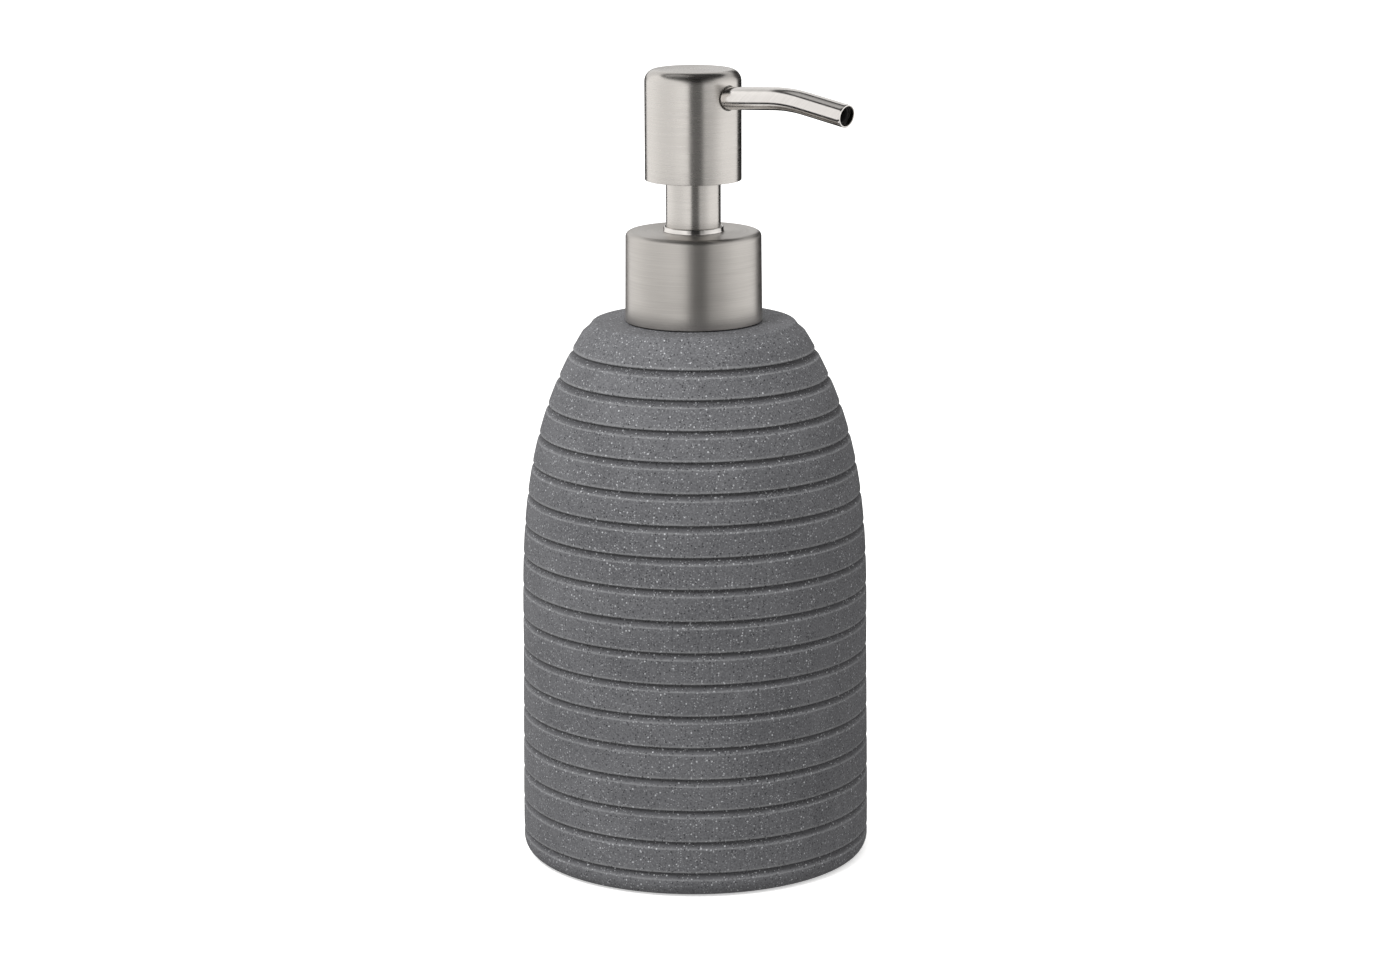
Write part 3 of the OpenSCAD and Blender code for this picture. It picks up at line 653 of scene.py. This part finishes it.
def nozzleTree():
    # a tube along a straight, a bend and a shorter straight
    names = ("Start", "Run", "Bend Radius", "End", "Rise", "Bend", "Height", "Tube Radius")
    tree, given, out = openTree("bentTube", "GeometryNodeTree",
        [("Geometry", "Geometry", None)] + [(name, "Float", 0.0) for name in names]
        + [("Rings", "Int", 48), ("Sides", "Int", 40), ("Material", "Material", None)], [("Tube", "Geometry")])
    bent = calc(tree, "MULTIPLY", given["Bend Radius"], given["Bend"])
    total = calc(tree, "ADD", calc(tree, "ADD", given["Run"], bent), given["End"])
    line = tree.nodes.new("GeometryNodeMeshLine")
    feed(tree, line.inputs["Count"], given["Rings"])
    share = calc(tree, "DIVIDE", tree.nodes.new("GeometryNodeInputIndex").outputs[0],
                 calc(tree, "SUBTRACT", given["Rings"], 1.0))
    gone = calc(tree, "MULTIPLY_ADD", share, calc(tree, "SUBTRACT", total, given["Start"]), given["Start"])
    past = calc(tree, "SUBTRACT", gone, given["Run"])
    turn = calc(tree, "MINIMUM", calc(tree, "MAXIMUM", calc(tree, "DIVIDE", past, given["Bend Radius"]), 0.0),
                given["Bend"])
    extra = calc(tree, "MAXIMUM", calc(tree, "SUBTRACT", past, bent), 0.0)
    bendDip = calc(tree, "MULTIPLY", given["Bend Radius"], calc(tree, "SUBTRACT", 1.0, calc(tree, "COSINE", turn)))
    dip = calc(tree, "MULTIPLY_ADD", extra, calc(tree, "SINE", given["Bend"]), bendDip)
    bendReach = calc(tree, "MULTIPLY", given["Bend Radius"], calc(tree, "SINE", turn))
    pastRun = calc(tree, "MULTIPLY_ADD", extra, calc(tree, "COSINE", given["Bend"]), bendReach)
    reach = calc(tree, "ADD", calc(tree, "MINIMUM", gone, given["Run"]), pastRun)
    rise, level = calc(tree, "SINE", given["Rise"]), calc(tree, "COSINE", given["Rise"])
    point = tree.nodes.new("ShaderNodeCombineXYZ")
    feed(tree, point.inputs[0], calc(tree, "MULTIPLY_ADD", reach, level, calc(tree, "MULTIPLY", dip, rise)))
    drop = calc(tree, "SUBTRACT", calc(tree, "MULTIPLY", reach, rise), calc(tree, "MULTIPLY", dip, level))
    feed(tree, point.inputs[2], calc(tree, "ADD", drop, given["Height"]))
    path = placePoints(tree, line.outputs[0], point.outputs[0])
    return sweepTube(tree, path, given, out["Tube"], closed=False)


def makeNozzle():
    tree = nozzleTree()
    turns = {name: math.radians(value) for name, value in nozzleTurn.items()}
    sizes = {name: value * mm for name, value in nozzle.items()}
    for name, part, material, slot, node, shorter in (
            ("nozzleTube", "tube", brightSteel, "bright_steel", "nozzle_tube", 0),
            # the liner's near-black colour is painted shade for the bore
            ("nozzleLiner", "liner", boreShadePlastic, "natural_plastic", "nozzle_liner", nozzleEdge["inset"])):
        radius, wall = nozzleWall[part]
        piece = addObject(name, bpy.data.meshes.new(name))
        runTree(piece, tree, **turns, **{**sizes, "End": sizes["End"] - shorter * mm},
                Height=head["nozzleZ"] * mm, **{"Tube Radius": radius * mm}, Rings=72, Sides=56, Material=material)
        settle(piece)
        faceOutwards(piece.data)
        thick = piece.modifiers.new("wall", "SOLIDIFY")
        thick.thickness, thick.offset, thick.use_rim = wall * mm, -1, True
        edge = piece.modifiers.new("edge", "BEVEL")
        edge.width, edge.segments = nozzleEdge["bevel"] * mm, 2
        edge.limit_method, edge.angle_limit = "ANGLE", math.radians(60)
        settle(piece)
        softenShading(piece.data)
        hand(piece, "head", slot, node)


makeHead()
makeSleeve()
makeNozzle()
print("head made")


spring = {"Coil Radius": 3.6, "Tube Radius": 0.45, "Bottom": 81.5, "Top": 100.5, "Closed Rise": 0.97}
springCounts = {"Turns": 8, "Steps": 32, "Sides": 14}


def springTree():
    # a coil whose first and last turns are closed
    names = ("Coil Radius", "Tube Radius", "Bottom", "Top", "Closed Rise")
    tree, given, out = openTree("coil", "GeometryNodeTree",
        [("Geometry", "Geometry", None)] + [(name, "Float", 0.0) for name in names]
        + [(name, "Int", value) for name, value in springCounts.items()] + [("Material", "Material", None)],
        [("Coil", "Geometry")])
    line = tree.nodes.new("GeometryNodeMeshLine")
    feed(tree, line.inputs["Count"], calc(tree, "MULTIPLY_ADD", given["Turns"], given["Steps"], 1.0))
    turn = calc(tree, "DIVIDE", tree.nodes.new("GeometryNodeInputIndex").outputs[0], given["Steps"])
    last = calc(tree, "SUBTRACT", given["Turns"], 1.0)
    closed = calc(tree, "ADD", calc(tree, "MINIMUM", turn, 1.0),
                  calc(tree, "MAXIMUM", calc(tree, "SUBTRACT", turn, last), 0.0))
    free = calc(tree, "SUBTRACT", calc(tree, "MAXIMUM", calc(tree, "MINIMUM", turn, last), 1.0), 1.0)
    height = calc(tree, "SUBTRACT", calc(tree, "SUBTRACT", given["Top"], given["Bottom"]),
                  calc(tree, "MULTIPLY", given["Closed Rise"], 2.0))
    openRise = calc(tree, "DIVIDE", height, calc(tree, "SUBTRACT", given["Turns"], 2.0))
    angle = calc(tree, "MULTIPLY", turn, 2 * math.pi)
    point = tree.nodes.new("ShaderNodeCombineXYZ")
    feed(tree, point.inputs[0], calc(tree, "MULTIPLY", given["Coil Radius"], calc(tree, "COSINE", angle)))
    feed(tree, point.inputs[1], calc(tree, "MULTIPLY", given["Coil Radius"], calc(tree, "SINE", angle)))
    feed(tree, point.inputs[2], calc(tree, "MULTIPLY_ADD", closed, given["Closed Rise"],
                                     calc(tree, "MULTIPLY_ADD", free, openRise, given["Bottom"])))
    path = placePoints(tree, line.outputs[0], point.outputs[0])
    return sweepTube(tree, path, given, out["Coil"], closed=True)


coil = addObject("returnCoil", bpy.data.meshes.new("returnCoil"))
runTree(coil, springTree(), **{name: value * mm for name, value in spring.items()}, **springCounts,
        Material=brightSteel)
settle(coil)
softenShading(coil.data)
hand(coil, "pump", "bright_steel", "return_spring")
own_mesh(coil)
print("spring made")


# finishes of the parts that stay as they are

carried = [
    (stoneBack, ["base_plug"]),
    (naturalPlastic, ["liner_bottle", "pump_housing", "dip_tube", "piston"]),
    (whitePlastic, ["stem_guide", "ball_cage", "screw_cap", "stem_tube", "piston_rod", "actuator_core"]),
    (foamRubber, ["neck_gasket"]),
    (brightSteel, ["inlet_ball"]),
]
for finish, names in carried:
    for name in names:
        nodes[name].data.materials.clear()
        nodes[name].data.materials.append(finish)
print("carried parts painted")


floorLook = {"reach": 12.0, "shades": ((0.90, 0.90, 0.90, 1), (0.92, 0.92, 0.92, 1)), "glow": 0.45}


def makeFloor():
    mesh = bpy.data.meshes.new("floor")
    side = floorLook["reach"]
    mesh.from_pydata([(-side, -side, 0), (side, -side, 0), (side, side, 0), (-side, side, 0)], [], [(0, 1, 2, 3)])
    floor = addObject("floor", mesh)
    material, tree, shader = startFinish("paleFloor", Roughness=0.9, Specular_IOR_Level=0.1)
    grain = placeGroup(tree, mouldGrain, Grain=2 * mm, Patch=300 * mm)
    feed(tree, shader.inputs["Base Color"], blendColor(tree, grain["Patches"], *floorLook["shades"]))
    feed(tree, shader.inputs["Emission Color"], (1.0, 1.0, 1.0, 1))
    feed(tree, shader.inputs["Emission Strength"], floorLook["glow"])    # keeps shadows on the floor faint
    mesh.materials.append(material)
    floor.visible_glossy = floor.visible_diffuse = False     # the object is lit by the room and not by the floor


view = {"azimuth": 43.0, "distance": 810.7, "height": 269.0, "pitch": 12.66, "turn": 0.0905, "roll": -0.2,
        "lens": 93.3, "sensor": 36.0}
room = {"white": 1.16, "glow": (0.42, 1.30), "glowFrom": -0.35, "glowTo": 0.85, "lean": 0.26,
        "tint": (1.0, 0.99, 0.98, 1)}
key = {"bearing": -38.0, "reach": 0.62, "height": 0.80, "aimHeight": 0.09, "size": 0.36, "power": 5.0}
# panels that the metal mirrors: bearing from the camera in degrees (starts, full, full, ends), height from -1 to 1
# (the same four), what the light is multiplied by
panels = [
    (-13, -5, 19, 30, -9, -8, 8, 9, 0.15),             # dim stripe towards the camera
    (-14, -6, 21, 32, -0.1, 0.2, 8, 9, 0.40),          # darker higher up
    (-32, -16, 36, 52, 0.20, 0.42, 8, 9, 0.35),        # and wider
    (-58, -34, 56, 76, 0.42, 0.70, 8, 9, 0.35),
    (17, 28, 34, 82, -9, -8, 8, 9, 0.60),              # half light beside it
    (-115, -72, -60, -24, -9, -8, 8, 9, 0.87),         # a little less on the left
    (25, 60, 140, 175, 0.0, 0.75, 8, 9, 0.60),         # the right wall fades upwards
    (95, 130, 181, 182, -0.05, 0.10, 8, 9, 0.74),      # dim wall behind the object
    (-182, -181, -150, -125, -0.05, 0.10, 8, 9, 0.74),
    (127, 133, 181, 182, -9, -8, 0.02, 0.12, 0.012),   # low dark panels that draw the contours
    (127, 133, 168, 176, 0.0, 0.08, 0.35, 0.55, 0.03),
    (-182, -181, -148, -142, -9, -8, 0.06, 0.15, 0.05),
    (-182, -181, 181, 182, 0.675, 0.725, 8, 9, 0.05),  # dark ceiling
    (-168, -152, -112, -96, 0.77, 0.81, 8, 9, 9.0),    # with a window in it
    (-182, -181, 181, 182, -0.68, -0.62, -0.48, -0.42, 0.03),    # dark ring near the floor
]


def lookedFrom(azimuth, distance, height):
    turn = math.radians(azimuth)
    return Vector((math.sin(turn) * distance, -math.cos(turn) * distance, height))


def makeWorld():
    # a soft white room, lighter above and on the left, with panels that only the metal mirrors
    world = bpy.data.worlds.new("softRoom")
    world.use_nodes = True
    tree = world.node_tree
    back = tree.nodes["Background"]
    turnRoom = tree.nodes.new("ShaderNodeMapping")
    feed(tree, turnRoom.inputs["Vector"], tree.nodes.new("ShaderNodeTexCoord").outputs["Generated"])
    turnRoom.inputs["Rotation"].default_value = (0, 0, math.radians(90 - view["azimuth"]))
    part = tree.nodes.new("ShaderNodeSeparateXYZ")
    feed(tree, part.inputs[0], turnRoom.outputs[0])
    ahead, side, up = part.outputs
    bearing = calc(tree, "MULTIPLY", calc(tree, "ARCTAN2", side, ahead), 180 / math.pi)

    def between(value, starts, full, last, ends):
        return calc(tree, "MULTIPLY", blendValue(tree, value, starts, full, 0.0, 1.0, smooth=True),
                    blendValue(tree, value, last, ends, 1.0, 0.0, smooth=True))

    mirrored = room["white"]
    for *edges, factor in panels:
        mask = calc(tree, "MULTIPLY", between(bearing, *edges[:4]), between(up, *edges[4:]))
        mirrored = calc(tree, "MULTIPLY", mirrored, blendValue(tree, mask, 0.0, 1.0, 1.0, factor))
    glow = blendValue(tree, up, room["glowFrom"], room["glowTo"], *room["glow"], smooth=True)
    glow = calc(tree, "MULTIPLY", glow, calc(tree, "MULTIPLY_ADD", side, -room["lean"], 1.0))
    ray = tree.nodes.new("ShaderNodeLightPath").outputs
    strength = blendValue(tree, ray["Is Glossy Ray"], 0.0, 1.0, glow, mirrored)
    feed(tree, back.inputs["Strength"], blendValue(tree, ray["Is Camera Ray"], 0.0, 1.0, strength, room["white"]))
    back.inputs["Color"].default_value = room["tint"]
    bpy.context.scene.world = world


def makeKey():
    # a softbox above, to the left of the camera
    lamp = bpy.data.lights.new("softbox", "AREA")
    lamp.shape, lamp.size, lamp.energy = "DISK", key["size"], key["power"]
    softbox = addObject("softbox", lamp)
    spot = lookedFrom(view["azimuth"] + key["bearing"], key["reach"], key["height"])
    aim = Vector((0, 0, key["aimHeight"])) - spot
    softbox.matrix_world = Matrix.Translation(spot) @ aim.to_track_quat("-Z", "Y").to_matrix().to_4x4()
    softbox.visible_glossy = softbox.visible_camera = False


def makeCamera():
    lens = bpy.data.cameras.new("camera")
    lens.lens, lens.sensor_width = view["lens"], view["sensor"]
    lens.clip_start, lens.clip_end = 0.01, 100.0
    camera = addObject("camera", lens)
    spot = lookedFrom(view["azimuth"], view["distance"], view["height"]) * mm
    camera.matrix_world = (Matrix.Translation(spot)
                           @ Matrix.Rotation(math.radians(view["azimuth"] - view["turn"]), 4, "Z")
                           @ Matrix.Rotation(math.radians(90 - view["pitch"]), 4, "X")
                           @ Matrix.Rotation(math.radians(view["roll"]), 4, "Z"))
    bpy.context.scene.camera = camera


makeFloor()
makeWorld()
makeKey()
makeCamera()
bpy.context.scene.view_settings.view_transform = "Standard"
print("scene lit")
